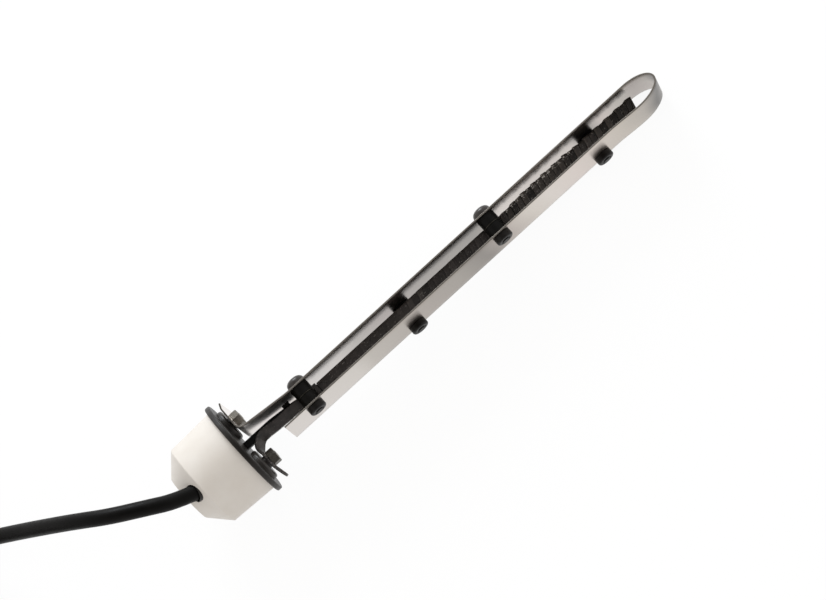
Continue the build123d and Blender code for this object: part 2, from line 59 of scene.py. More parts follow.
def seat(points):
    """Heater frame in millimetres to the model's frame in metres: turned by TILT about Y, then moved."""
    return np.asarray(points, float) * MM @ TURN.T + MIDDLE


# ---- camera ------------------------------------------------------------------------------
CAMERA_AIM = (102.5, -2.02, -0.58)
CAMERA_RIGHT = (0.7385, -0.6482, -0.1858)
CAMERA_UP = (0.6743, 0.7099, 0.2035)
CAMERA_BACK = (0.0, -0.2756, 0.9613)
CAMERA_DISTANCE = 1700.0
CAMERA_LENS = 162.85


def make_camera():
    """A long lens looking almost straight down on the heater."""
    data = bpy.data.cameras.new("camera")
    data.lens = CAMERA_LENS
    data.sensor_width = 36.0
    data.clip_start, data.clip_end = 0.01, 50.0
    camera = bpy.data.objects.new("camera", data)
    bpy.context.scene.collection.objects.link(camera)
    axes = [TURN @ np.array(v) for v in (CAMERA_RIGHT, CAMERA_UP, CAMERA_BACK)]
    turn = Matrix(np.array(axes).T.tolist()).normalized()
    place = seat(np.array(CAMERA_AIM) + CAMERA_DISTANCE * np.array(CAMERA_BACK))
    camera.matrix_world = Matrix.Translation(Vector(place)) @ turn.to_4x4()
    bpy.context.scene.camera = camera


make_camera()


# ---- materials ---------------------------------------------------------------------------
def linear(hex_colour):
    """An sRGB hex value as linear RGBA."""
    parts = [int(hex_colour[i:i + 2], 16) / 255 for i in (1, 3, 5)]
    return tuple(c / 12.92 if c <= 0.04045 else ((c + 0.055) / 1.055) ** 2.4 for c in parts) + (1.0,)


def add(tree, kind, inputs=None, stops=None, **settings):
    """Adds a node: settings on it, values or linked sockets in its inputs, and colour stops on a ramp."""
    node = tree.nodes.new(kind)
    for name, value in settings.items():
        setattr(node, name, value)
    for name, value in (inputs or {}).items():
        socket = node.inputs[name]
        if isinstance(value, bpy.types.NodeSocket):
            tree.links.new(value, socket)
        else:
            socket.default_value = value
    if stops:
        elements = node.color_ramp.elements
        while len(elements) < len(stops):
            elements.new(0.5)
        for element, (place, colour) in zip(elements, stops):
            element.position = place
            element.color = colour if isinstance(colour, tuple) else (colour, colour, colour, 1.0)
    return node


def blank(name):
    """A new material with an empty tree."""
    material = bpy.data.materials.new(name)
    material.use_nodes = True
    material.node_tree.nodes.clear()
    return material, material.node_tree


CLOUD_MM, GLOSS_MM = 9.0, 2.5


def moulded_polymer(name, light, dark, rough, grain_mm, grain_depth, specular=0.5):
    """A moulded skin: two close tones in slow clouds, gloss that wanders by a sixth, and a fine raised
    grain, grain_mm across and grain_depth mm deep."""
    material, tree = blank(name)
    where = add(tree, "ShaderNodeTexCoord").outputs["Object"]
    cloud = add(tree, "ShaderNodeTexNoise", {"Vector": where, "Scale": 1 / (CLOUD_MM * MM), "Detail": 3.0})
    tone = add(tree, "ShaderNodeValToRGB", {"Fac": cloud.outputs["Fac"]}, [
        (0.3, linear(dark)), (0.7, linear(light)),
    ])
    smear = add(tree, "ShaderNodeTexNoise", {"Vector": where, "Scale": 1 / (GLOSS_MM * MM), "Detail": 4.0})
    gloss = add(tree, "ShaderNodeMapRange", {
        "Value": smear.outputs["Fac"], "From Min": 0.3, "From Max": 0.7,
        "To Min": rough * 0.85, "To Max": rough * 1.15,
    })
    grain = add(tree, "ShaderNodeTexNoise", {"Vector": where, "Scale": 1 / (grain_mm * MM), "Detail": 2.0})
    bump = add(tree, "ShaderNodeBump", {"Height": grain.outputs["Fac"], "Distance": grain_depth * MM})
    body = add(tree, "ShaderNodeBsdfPrincipled", {
        "Base Color": tone.outputs["Color"], "Roughness": gloss.outputs["Result"],
        "Normal": bump.outputs["Normal"], "Specular IOR Level": specular,
    })
    add(tree, "ShaderNodeOutputMaterial", {"Surface": body.outputs["BSDF"]})
    return material


# polypropylene, moulded: a dull white skin with a warm cast
cap_polypropylene = moulded_polymer("cap_polypropylene", "#E7E1D9", "#E2DBD2", 0.45, 0.7, 0.006)
# nitrile rubber, moulded: black-brown with a low gloss on the skin
seal_nitrile = moulded_polymer("seal_nitrile", "#201C18", "#191613", 0.42, 0.4, 0.012, 0.35)
# phenolic, pressed and tumbled: dark grey with a broad dull sheen
washer_phenolic = moulded_polymer("washer_phenolic", "#3A3632", "#2B2825", 0.34, 0.6, 0.006, 0.45)
# nylon, turned from rod: dark brown-black
spacer_nylon = moulded_polymer("spacer_nylon", "#2C2624", "#241F1D", 0.38, 0.5, 0.006)
# black nylon, moulded: the nuts take a faint broad sheen, the bushes hardly any, the screws a greyer one,
# with painted light in their lighter tone
clip_nylon = moulded_polymer("clip_nylon", "#161210", "#0F0C0A", 0.42, 0.6, 0.008, 0.22)
bush_nylon = moulded_polymer("bush_nylon", "#0E0C0A", "#090807", 0.45, 0.6, 0.008, 0.12)
screw_nylon_painted_light = moulded_polymer("screw_nylon_painted_light", "#38332F", "#292522", 0.36, 0.6, 0.008, 0.5)
# paper-phenolic board, sawn and drilled: buff, with a dull face
plate_board = moulded_polymer("plate_board", "#D9CFBF", "#CDC1AE", 0.55, 0.8, 0.01)
# natural nylon, moulded: an off-white, slightly waxy clamp
clamp_nylon = moulded_polymer("clamp_nylon", "#CFCAC2", "#C6C0B7", 0.5, 0.7, 0.01)
# baked enamel on steel: near black, a little orange peel
stem_enamel = moulded_polymer("stem_enamel", "#100F0F", "#0A0909", 0.45, 0.5, 0.006)
core_enamel = moulded_polymer("core_enamel", "#232120", "#1B1918", 0.42, 0.5, 0.006)
# PVC, extruded on the inner wires: smooth and half glossy
lead_brown_pvc = moulded_polymer("lead_brown_pvc", "#5A2E18", "#522813", 0.4, 0.4, 0.004)
lead_blue_pvc = moulded_polymer("lead_blue_pvc", "#24477F", "#1F3F73", 0.4, 0.4, 0.004)
# chloroprene rubber sheath, extruded: black, matt, with a faint sheen
cord_rubber = moulded_polymer("cord_rubber", "#11100F", "#0B0A09", 0.44, 0.9, 0.012, 0.1)
plug_rubber = moulded_polymer("plug_rubber", "#212122", "#1B1B1C", 0.48, 0.9, 0.012)
# silicone-glass sleeving, varnished: dark brown with a dull shine
sleeve_varnished = moulded_polymer("sleeve_varnished", "#2A2523", "#1D1A18", 0.42, 0.6, 0.012)


def worked_metal(name, light, dark, rough, mark_mm, depth):
    """Turned or stamped metal: one noise of tool marks drives tone, gloss and height together."""
    material, tree = blank(name)
    where = add(tree, "ShaderNodeTexCoord").outputs["Object"]
    mark = add(tree, "ShaderNodeTexNoise", {
        "Vector": where, "Scale": 1 / (mark_mm * MM), "Detail": 3.0, "Roughness": 0.6,
    }).outputs["Fac"]
    tone = add(tree, "ShaderNodeValToRGB", {"Fac": mark}, [(0.3, linear(dark)), (0.7, linear(light))])
    gloss = add(tree, "ShaderNodeMapRange", {
        "Value": mark, "From Min": 0.25, "From Max": 0.75, "To Min": rough * 0.8, "To Max": rough * 1.25,
    })
    bump = add(tree, "ShaderNodeBump", {"Height": mark, "Distance": depth * MM})
    body = add(tree, "ShaderNodeBsdfPrincipled", {
        "Base Color": tone.outputs["Color"], "Roughness": gloss.outputs["Result"],
        "Normal": bump.outputs["Normal"], "Metallic": 1.0,
    })
    add(tree, "ShaderNodeOutputMaterial", {"Surface": body.outputs["BSDF"]})
    return material


# steel nuts, zinc plated and gone dull: grey with an olive cast
nut_steel = worked_metal("nut_steel", "#6A665F", "#514D47", 0.38, 0.5, 0.004)
# steel washers in the clips' joints, blued: nearly as dark as the bushes
washer_steel = worked_metal("washer_steel", "#4A4742", "#3A3733", 0.42, 0.5, 0.004)
# mild steel stud, rolled thread: a little brighter than the nuts
stud_steel = worked_metal("stud_steel", "#A8A49D", "#8F8B84", 0.3, 0.3, 0.004)
# brass nuts inside the cap, turned: yellow and half bright
brass = worked_metal("brass", "#C9A557", "#B9944A", 0.28, 0.4, 0.003)
# copper, stamped and tinned: a soft grey shine
tin_plate = worked_metal("tin_plate", "#BDBBB8", "#ABA9A6", 0.3, 0.4, 0.003)
# plug pins, nickel plated on brass: bright and smooth
pin_nickel = worked_metal("pin_nickel", "#CFCBC4", "#C3BFB8", 0.16, 0.4, 0.001)

# the strip laid flat: its length, and painted tones at places in mm along it, standing in for the light and
# shade its faces mirror
STRIP_LENGTH = 495.4
STRIP_PAINTED_REFLECTIONS = (
    # the tab and the return leg, up to the third clip
    (14, "#FFFFFF"), (24, "#F6F3F5"), (40, "#EBE8E7"), (56, "#E4E4E5"), (70, "#DCDBDB"),
    (80, "#C5C4C3"), (94, "#BCB7B7"), (118, "#B5B2B1"), (152, "#A3A29F"), (161, "#ADAAA6"),
    # on to the tip, painted dark behind the fourth clip's bush, for the bush's reflection
    (170, "#ECE8E7"), (211, "#E1DDDB"), (217, "#ADAAA8"), (224, "#ADAAA8"), (230, "#DFD8D6"),
    (240, "#CBC9C5"),
    # round the tip, painted darker on its outer side
    (250, "#BDB8B6"), (259, "#CBC8C5"), (264, "#817F7D"), (270, "#5D5B59"), (278, "#BCB8B2"),
    # back along the free leg, darkest a little before the second clip
    (288, "#D0CBC3"), (318, "#E8E1DE"), (336, "#EAE6E3"), (348, "#E1DDD7"), (359, "#C3BCB7"),
    (376, "#8B8681"), (392, "#A7A39D"), (408, "#B3ADA8"), (446, "#C9C6C1"), (455, "#E0DEDB"),
    (488, "#E8E6E5"),
)
ROLL_LENGTH_MM, ROLL_WIDTH_MM = 60.0, 0.4  # size of a hairline
TONE_SHIFT, TONE_SHIFT_MM = 0.02, 22.0  # how far the painted tones wander, as a share of the strip, and how slowly


def rolled_stainless():
    """Cold rolled strip, all read off its own lay map, whose axes are mm along and across it: hairlines
    along it, painted tones along its length that stand in for the light and shade it mirrors, painted shade
    over its upper half by the terminal, sheared edges duller and painted darker, and a tab rubbed bright
    under its nut. Its gloss spreads across the hairlines."""
    material, tree = blank("strip_stainless")
    lay = add(tree, "ShaderNodeUVMap", uv_map="lay").outputs["UV"]
    split = add(tree, "ShaderNodeSeparateXYZ", {"Vector": lay}).outputs
    drawn = add(tree, "ShaderNodeMapping", {
        "Vector": lay, "Scale": (1 / (ROLL_LENGTH_MM * MM), 1 / (ROLL_WIDTH_MM * MM), 1.0),
    })
    hair = add(tree, "ShaderNodeTexNoise", {
        "Vector": drawn.outputs["Vector"], "Scale": 1.0, "Detail": 3.0, "Roughness": 0.6,
    }).outputs["Fac"]
    where = add(tree, "ShaderNodeTexCoord").outputs["Object"]
    tone_shift_noise = add(tree, "ShaderNodeTexNoise", {"Vector": where, "Scale": 1 / (TONE_SHIFT_MM * MM), "Detail": 0.0})
    along = add(tree, "ShaderNodeMath", {0: split["X"], 1: STRIP_LENGTH * MM}, operation="DIVIDE").outputs[0]
    wander = add(tree, "ShaderNodeMath", {
        0: tone_shift_noise.outputs["Fac"], 1: TONE_SHIFT, 2: along,
    }, operation="MULTIPLY_ADD")
    # painted reflections and shade: the strip's tone along its length stands in for what its faces mirror
    painted_reflection_tone = add(tree, "ShaderNodeValToRGB", {"Fac": wander.outputs[0]}, [
        (place / STRIP_LENGTH + TONE_SHIFT / 2, linear(left)) for place, left in STRIP_PAINTED_REFLECTIONS
    ])
    tone = add(tree, "ShaderNodeValToRGB", {"Fac": hair}, [
        (0.25, linear("#E8E3DE")), (0.75, linear("#F0EBE6")),
    ])
    face = add(tree, "ShaderNodeVectorMath", {
        0: tone.outputs["Color"], 1: painted_reflection_tone.outputs["Color"],
    }, operation="MULTIPLY")
    # painted shade: by the root the strip's upper half is darkened, standing in for the dark reflection it
    # shows
    by_root = add(tree, "ShaderNodeValToRGB", {"Fac": along}, [
        (place / STRIP_LENGTH, share) for place, share in ((14, 0.0), (32, 1.0), (42, 1.0), (48, 0.0))
    ])
    upper = add(tree, "ShaderNodeMapRange", {
        "Value": split["Y"], "From Min": -2 * MM, "From Max": 4 * MM, "To Min": 0.0, "To Max": 0.68,
    })
    painted_root_shade = add(tree, "ShaderNodeMath", {
        0: by_root.outputs["Color"], 1: upper.outputs["Result"],
    }, operation="MULTIPLY")
    root_unshaded = add(tree, "ShaderNodeMath", {0: 1.0, 1: painted_root_shade.outputs[0]}, operation="SUBTRACT")
    root_shaded_face = add(tree, "ShaderNodeVectorMath", {
        0: face.outputs["Vector"], "Scale": root_unshaded.outputs[0],
    }, operation="SCALE")
    # painted shade: the colour is darkened towards #88827B on the sheared edges; their gloss is also duller
    out = add(tree, "ShaderNodeMath", {0: split["Y"]}, operation="ABSOLUTE")
    edge = add(tree, "ShaderNodeMapRange", {
        "Value": out.outputs[0], "From Min": (STRIP_W / 2 - 0.2) * MM, "From Max": (STRIP_W / 2 - 0.05) * MM,
    }).outputs["Result"]
    colour = add(tree, "ShaderNodeMix", data_type="RGBA", inputs={
        0: edge, 6: root_shaded_face.outputs["Vector"], 7: linear("#88827B"),
    })
    gloss = add(tree, "ShaderNodeMapRange", {
        "Value": hair, "From Min": 0.25, "From Max": 0.75, "To Min": 0.27, "To Max": 0.34,
    })
    rubbed = add(tree, "ShaderNodeMapRange", {
        "Value": split["X"], "From Min": 8 * MM, "From Max": 12 * MM, "To Min": 0.3, "To Max": 1.0,
    })
    worn = add(tree, "ShaderNodeMath", {
        0: gloss.outputs["Result"], 1: rubbed.outputs["Result"],
    }, operation="MULTIPLY")
    dulled = add(tree, "ShaderNodeMath", {0: edge, 1: 0.2, 2: worn.outputs[0]}, operation="MULTIPLY_ADD")
    bump = add(tree, "ShaderNodeBump", {"Height": hair, "Distance": 0.0006 * MM})
    lengthwise = add(tree, "ShaderNodeTangent", direction_type="UV_MAP", uv_map="lay")
    body = add(tree, "ShaderNodeBsdfPrincipled", {
        "Base Color": colour.outputs[2], "Roughness": dulled.outputs[0],
        "Normal": bump.outputs["Normal"], "Metallic": 1.0, "Anisotropic": 0.2, "Anisotropic Rotation": 0.25,
        "Tangent": lengthwise.outputs["Tangent"],
    })
    add(tree, "ShaderNodeOutputMaterial", {"Surface": body.outputs["BSDF"]})
    return material


# stainless steel strip, cold rolled: warm grey with painted light and shade along it, and it smears what it
# mirrors
strip_stainless = rolled_stainless()

TAPE_PITCH, TAPE_LEAN = 3.2, 0.25  # mm from turn to turn, and mm that an edge leans for each mm of width
POOL_MM, CRUMB_MM, THREAD_MM = 1.6, 0.45, 0.35  # size of a varnish pool, of a bare speck, of a thread


def wound_tape(name, tones, turns_show, frayed_to):
    """Varnished glass tape, read off the lay map: each whole turn has a tone of its own, with painted shade
    in the groove before it, a painted highlight on its lip and painted shade towards its far edge, as far as
    turns_show says (from mm, to mm, share before, share after). Pools of varnish shine on it, and up to
    frayed_to mm along, bare glass shows in specks on the shoulder, which is the map's first millimetres
    round the bar."""
    material, tree = blank(name)
    lay = add(tree, "ShaderNodeUVMap", uv_map="lay").outputs["UV"]
    split = add(tree, "ShaderNodeSeparateXYZ", {"Vector": lay}).outputs
    turn = add(tree, "ShaderNodeMath", {0: split["X"], 1: TAPE_PITCH * MM}, operation="DIVIDE").outputs[0]
    whole = add(tree, "ShaderNodeMath", {0: turn}, operation="FLOOR").outputs[0]
    part = add(tree, "ShaderNodeMath", {0: turn}, operation="FRACT").outputs[0]
    chance = add(tree, "ShaderNodeTexWhiteNoise", {"W": whole}, noise_dimensions="1D").outputs["Value"]
    where = add(tree, "ShaderNodeTexCoord").outputs["Object"]
    pool = add(tree, "ShaderNodeTexNoise", {
        "Vector": where, "Scale": 1 / (POOL_MM * MM), "Detail": 3.0,
    }).outputs["Fac"]
    start, end, before, after = turns_show
    show = add(tree, "ShaderNodeMapRange", {
        "Value": split["X"], "From Min": start * MM, "From Max": end * MM, "To Min": before, "To Max": after,
    }).outputs["Result"]
    own = add(tree, "ShaderNodeMath", {0: chance, 1: show}, operation="MULTIPLY")
    mixed = add(tree, "ShaderNodeMath", {0: pool, 1: 0.7, 2: own.outputs[0]}, operation="MULTIPLY_ADD")
    brown = add(tree, "ShaderNodeValToRGB", {"Fac": mixed.outputs[0]}, [
        (place, linear(tone)) for place, tone in zip((0.3, 0.75, 1.1), tones)
    ])
    # painted light and shade across each turn: dark in the groove, light on the lip, darker towards the far
    # edge
    lip = add(tree, "ShaderNodeValToRGB", {"Fac": part}, [
        (0.05, 0.12), (0.12, 0.62), (0.3, 0.4), (0.85, 0.34), (1.0, 0.2),
    ])
    shaded = add(tree, "ShaderNodeMix", data_type="RGBA", inputs={
        0: show, 6: (0.55, 0.55, 0.55, 1.0), 7: lip.outputs["Color"],
    })
    lit = add(tree, "ShaderNodeVectorMath", {
        0: brown.outputs["Color"], 1: shaded.outputs[2],
    }, operation="MULTIPLY")
    crumb = add(tree, "ShaderNodeTexNoise", {
        "Vector": where, "Scale": 1 / (CRUMB_MM * MM), "Detail": 1.0,
    }).outputs["Fac"]
    shoulder = add(tree, "ShaderNodeMapRange", {
        "Value": split["Y"], "From Min": 1.9 * MM, "From Max": 3.0 * MM, "To Min": 0.2, "To Max": 0.0,
    }).outputs["Result"]
    reach = add(tree, "ShaderNodeMapRange", {
        "Value": split["X"], "From Min": (frayed_to - 6) * MM, "From Max": frayed_to * MM,
        "To Min": 1.0, "To Max": 0.0,
    }).outputs["Result"]
    near_lip = add(tree, "ShaderNodeMapRange", {
        "Value": part, "From Min": 0.4, "From Max": 0.6, "To Min": 1.0, "To Max": 0.3,
    }).outputs["Result"]
    torn = add(tree, "ShaderNodeMath", {0: reach, 1: near_lip}, operation="MULTIPLY")
    frayed = add(tree, "ShaderNodeMath", {
        0: shoulder, 1: torn.outputs[0], 2: crumb,
    }, operation="MULTIPLY_ADD")
    bare = add(tree, "ShaderNodeMapRange", {"Value": frayed.outputs[0], "From Min": 0.72, "From Max": 0.78})
    tone = add(tree, "ShaderNodeMix", data_type="RGBA", inputs={
        0: bare.outputs["Result"], 6: lit.outputs["Vector"], 7: linear("#D8D4CE"),
    })
    gloss = add(tree, "ShaderNodeMapRange", {
        "Value": pool, "From Min": 0.35, "From Max": 0.65, "To Min": 0.26, "To Max": 0.5,
    })
    thread = add(tree, "ShaderNodeTexNoise", {"Vector": where, "Scale": 1 / (THREAD_MM * MM), "Detail": 2.0})
    bump = add(tree, "ShaderNodeBump", {"Height": thread.outputs["Fac"], "Distance": 0.02 * MM})
    body = add(tree, "ShaderNodeBsdfPrincipled", {
        "Base Color": tone.outputs[2], "Roughness": gloss.outputs["Result"],
        "Normal": bump.outputs["Normal"],
    })
    add(tree, "ShaderNodeOutputMaterial", {"Surface": body.outputs["BSDF"]})
    return material


# glass-fibre tape, wound wet with varnish and baked brown: turns differ in tone, pools catch the light
winding_tape = wound_tape("winding_tape", ("#312A26", "#4A423C", "#665D56"), (0, 1, 1.0, 1.0), 46.0)
# the same under a shrunk varnished sleeve: greyer, and its turns show through only from the second clip on
sleeve_tape = wound_tape("sleeve_tape", ("#4A4440", "#625955", "#706863"), (44, 58, 0.12, 0.75), 0.0)


OXIDE_MM, SPECK_MM = 3.0, 0.7  # size of a cloud in the oxide, and of a rubbed speck


def oxidised_strap():
    """Heat-darkened nickel alloy: grey oxide with bright specks where it is rubbed through, most of them
    towards its edges, which is the far ends of the lay map's second axis."""
    material, tree = blank("strap_oxide")
    where = add(tree, "ShaderNodeTexCoord").outputs["Object"]
    cloud = add(tree, "ShaderNodeTexNoise", {"Vector": where, "Scale": 1 / (OXIDE_MM * MM), "Detail": 4.0})
    speck = add(tree, "ShaderNodeTexNoise", {
        "Vector": where, "Scale": 1 / (SPECK_MM * MM), "Detail": 2.0,
    }).outputs["Fac"]
    lay = add(tree, "ShaderNodeUVMap", uv_map="lay").outputs["UV"]
    side = add(tree, "ShaderNodeSeparateXYZ", {"Vector": lay}).outputs["Y"]
    out = add(tree, "ShaderNodeMath", {0: side}, operation="ABSOLUTE")
    edge = add(tree, "ShaderNodeMapRange", {
        "Value": out.outputs[0], "From Min": 1.4 * MM, "From Max": 2.7 * MM, "To Min": 0.0, "To Max": 0.14,
    })
    rubbed = add(tree, "ShaderNodeMath", {0: speck, 1: edge.outputs["Result"]}, operation="ADD")
    bare = add(tree, "ShaderNodeMapRange", {"Value": rubbed.outputs[0], "From Min": 0.68, "From Max": 0.76})
    oxide = add(tree, "ShaderNodeValToRGB", {"Fac": cloud.outputs["Fac"]}, [
        (0.3, linear("#3A3736")), (0.7, linear("#4F4A48")),
    ])
    tone = add(tree, "ShaderNodeMix", data_type="RGBA", inputs={
        0: bare.outputs["Result"], 6: oxide.outputs["Color"], 7: linear("#8E8984"),
    })
    bump = add(tree, "ShaderNodeBump", {"Height": speck, "Distance": 0.03 * MM})
    body = add(tree, "ShaderNodeBsdfPrincipled", {
        "Base Color": tone.outputs[2], "Metallic": bare.outputs["Result"], "Roughness": 0.4,
        "Normal": bump.outputs["Normal"],
    })
    add(tree, "ShaderNodeOutputMaterial", {"Surface": body.outputs["BSDF"]})
    return material


# nickel-chrome strap, oxidised by heat: dull dark grey, specked bright along its edges
strap_oxide = oxidised_strap()

# a node that a piece further down stands for has a plain finish here
FINISH = {
    "cap_housing": cap_polypropylene, "cord_grommet": seal_nitrile, "seal_flange": seal_nitrile,
    "strain_clamp": clamp_nylon, "clamp_screws": tin_plate, "terminal_plate": plate_board,
    "hairpin_strip": tin_plate, "centre_stem": stem_enamel, "stem_collar": clip_nylon,
    "feed_strap": nut_steel, "element_core": core_enamel, "element_sleeve": sleeve_varnished,
    "element_winding": sleeve_varnished, "spacer_bush": bush_nylon, "clip_screw": clip_nylon,
    "clip_nut": clip_nylon, "cord_tube": cord_rubber, "cord_coil": cord_rubber,
    "plug_body": plug_rubber, "plug_pins": pin_nickel, "return_lead": lead_blue_pvc,
    "feed_lead": lead_brown_pvc,
}
END_FINISH = {
    "_washer": washer_phenolic, "_spacer_nut": spacer_nylon, "_clamp_nut": nut_steel, "_stud": stud_steel,
    "_back_nut": brass, "_lock_nut": brass, "_ring_terminal": tin_plate,
}


def finish_of(node):
    """The material of a CAD node, by how its name starts or ends."""
    for start, material in FINISH.items():
        if node.startswith(start):
            return material
    return next(m for end, m in END_FINISH.items() if node.endswith(end))


for node_name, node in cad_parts.items():
    node.data.materials.clear()
    node.data.materials.append(finish_of(node_name))


# ---- mesh helpers ------------------------------------------------------------------------
def outward(points, faces):
    """True if the faces of a closed mesh point outwards, by the sign of its volume."""
    fans = [(f[0], f[k], f[k + 1]) for f in faces for k in range(1, len(f) - 1)]
    a, b, c = (points[np.array(fans)[:, k]] for k in range(3))
    return np.einsum("ij,ij->i", a, np.cross(b, c)).sum() > 0


def skin(name, rings, material, stands_for=(), lay=None, crease=40.0):
    """A closed piece from an array of rings (count, points, 3): quads between neighbouring rings, a face over
    each end. lay gives each point its place in mm along and across the piece, kept as the map "lay"."""
    count, size = rings.shape[:2]
    places = seat(rings).reshape(-1, 3)
    ring, here = np.arange(count - 1)[:, None] * size, np.arange(size)[None, :]
    beside = (here + 1) % size
    sides = np.stack([ring + here, ring + beside, ring + size + beside, ring + size + here], -1)
    faces = sides.reshape(-1, 4).tolist()
    faces.append(list(range(size))[::-1])
    faces.append([(count - 1) * size + k for k in range(size)])
    if not outward(places, faces):
        faces = [f[::-1] for f in faces]
    mesh = bpy.data.meshes.new(name)
    mesh.from_pydata(places.tolist(), [], faces)
    mesh.polygons.foreach_set("use_smooth", [True] * len(mesh.polygons))
    mesh.set_sharp_from_angle(angle=radians(crease))
    if lay is not None:
        corner = np.empty(len(mesh.loops), np.int32)
        mesh.loops.foreach_get("vertex_index", corner)
        on_corners = (lay.reshape(-1, 2) * MM)[corner]
        mesh.uv_layers.new(name="lay").uv.foreach_set("vector", on_corners.ravel())
    mesh.materials.append(material)
    piece = bpy.data.objects.new(name, mesh)
    bpy.context.scene.collection.objects.link(piece)
    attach(piece, "root")
    if stands_for:
        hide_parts(*stands_for)
    return piece


def rounded_outline(width, thick, corner, corner_steps=5, side_steps=4):
    """A rectangle with round corners, as points round it: a quarter circle for each corner, then even steps
    along the side after it."""
    parts = []
    half_w, half_t = width / 2 - corner, thick / 2 - corner
    quadrants = ((1, 1), (-1, 1), (-1, -1), (1, -1))
    for q, (sx, sy) in enumerate(quadrants):
        angle = radians(90) * (q + np.linspace(0, 1, corner_steps))
        arc = np.stack([sx * half_w + corner * np.cos(angle), sy * half_t + corner * np.sin(angle)], -1)
        next_x, next_y = quadrants[(q + 1) % 4]
        last = radians(90 * (q + 1))
        end = np.array([next_x * half_w, next_y * half_t]) + corner * np.array([cos(last), sin(last)])
        share = np.linspace(0, 1, side_steps + 2)[1:-1, None]
        parts += [arc, arc[-1] + (end - arc[-1]) * share]
    return np.concatenate(parts)


def outline_normals(outline):
    """Unit vectors square to a closed outline, pointing out of it."""
    along = np.roll(outline, -1, 0) - np.roll(outline, 1, 0)
    normal = np.stack([along[:, 1], -along[:, 0]], -1)
    return normal / np.linalg.norm(normal, axis=1, keepdims=True)


def arc_corner(a, b, c, radius, steps=14):
    """The round that joins run a-b to run b-c: points of an arc that touches both runs."""
    a, b, c = (np.array(p, float) for p in (a, b, c))
    u, v = (a - b) / np.linalg.norm(a - b), (c - b) / np.linalg.norm(c - b)
    half = np.arccos(np.clip(u @ v, -1, 1)) / 2
    centre = b + (u + v) / np.linalg.norm(u + v) * radius / np.sin(half)
    x, y = b + u * radius / np.tan(half) - centre
    way = np.sign(u[1] * v[0] - u[0] * v[1])
    angle = way * (pi - 2 * half) * np.linspace(0, 1, steps)
    along_x, along_y = np.cos(angle), np.sin(angle)
    return centre + np.stack([x * along_x - y * along_y, x * along_y + y * along_x], -1)


def evened(points, step):
    """A line of points spaced evenly again by its length, and each point's place in mm along it."""
    length = np.concatenate([[0], np.cumsum(np.linalg.norm(np.diff(points, axis=0), axis=1))])
    at = np.linspace(0, length[-1], int(length[-1] / step) + 1)
    return np.stack([np.interp(at, length, points[:, k]) for k in range(points.shape[1])], -1), at


def eased(share):
    """A share from 0 to 1 that starts and ends slowly: three times its square less twice its cube."""
    return share * share * (3 - 2 * share)


def tangents(line):
    """Unit vectors along a line of points."""
    along = np.gradient(line, axis=0)
    return along / np.linalg.norm(along, axis=1, keepdims=True)


# ---- hairpin strip -----------------------------------------------------------------------
RETURN_Y, LEG_GAP = 2.1, 10.6
FEED_Y = RETURN_Y - LEG_GAP - STRIP_T
TERMINAL_Y, TAB_X, TAB_END_Y = 12.3, 4.9, 19.8
TAB_FLAT, TAB_CURL, CURL_BEND = 4.9, 1.1, 3.0  # past the nut the tab stays flat, then curls up
ROOT_RISE, ROOT_BEND = 2.6, 3.0  # where the tab turns into the return leg
LEG_EASE, LEG_BEND = 6.0, 40.0  # where the return leg straightens, before the first clip
LEG_END_X, LOOP_X, LOOP_SPREAD = 21.0, 237.3, 0.8
PINCH = 8.0  # how far past the last clip the free leg's spread is gone
CLIP_X, CLIP_Z = (37.8, 96.6, 152.0, 211.0), (7.4, -7.4, 7.4, -7.4)
EDGE_ROUND, STRIP_STEP = 0.12, 0.7


def strip_line():
    """The strip's middle line: curled tab, bend, return leg, half ellipse, eased free leg."""
    tab_end, tab_flat = (TAB_X + TAB_CURL, TAB_END_Y), (TAB_X, TERMINAL_Y + TAB_FLAT)
    root, leg_end = (TAB_X, RETURN_Y + ROOT_RISE), (LOOP_X, RETURN_Y)
    leg_start = (CLIP_X[0] - LEG_EASE, RETURN_Y)
    free_y = FEED_Y - LOOP_SPREAD
    middle, half = (RETURN_Y + free_y) / 2, (RETURN_Y - free_y) / 2
    angle = np.linspace(pi / 2, -pi / 2, 70)
    loop = np.stack([LOOP_X + (TIP_X - LOOP_X) * np.cos(angle), middle + half * np.sin(angle)], -1)
    share = np.linspace(0, 1, 24)[1:]
    pinch_x = CLIP_X[3] + PINCH
    back = np.stack([LOOP_X + (pinch_x - LOOP_X) * share, free_y + (FEED_Y - free_y) * eased(share)], -1)
    line = np.concatenate([
        [tab_end], arc_corner(tab_end, tab_flat, root, CURL_BEND),
        arc_corner(tab_flat, root, leg_start, ROOT_BEND), arc_corner(root, leg_start, leg_end, LEG_BEND),
        loop, back, [(LEG_END_X, FEED_Y)],
    ])
    return evened(line, STRIP_STEP)


def strip_band():
    """The strip's section, a flat oblong with broken edges, carried along its middle line."""
    line, at = strip_line()
    outline = rounded_outline(STRIP_W, STRIP_T, EDGE_ROUND, 4, 5)
    along = tangents(line)
    side = np.stack([-along[:, 1], along[:, 0]], -1)
    flat = line[:, None, :] + outline[None, :, 1:2] * side[:, None, :]
    height = np.broadcast_to(outline[None, :, 0], flat.shape[:2])
    rings = np.concatenate([flat, height[..., None]], -1)
    lay = np.stack([np.broadcast_to(at[:, None], height.shape), height], -1)
    return skin("hairpin_band", rings, strip_stainless, ["hairpin_strip"], lay)


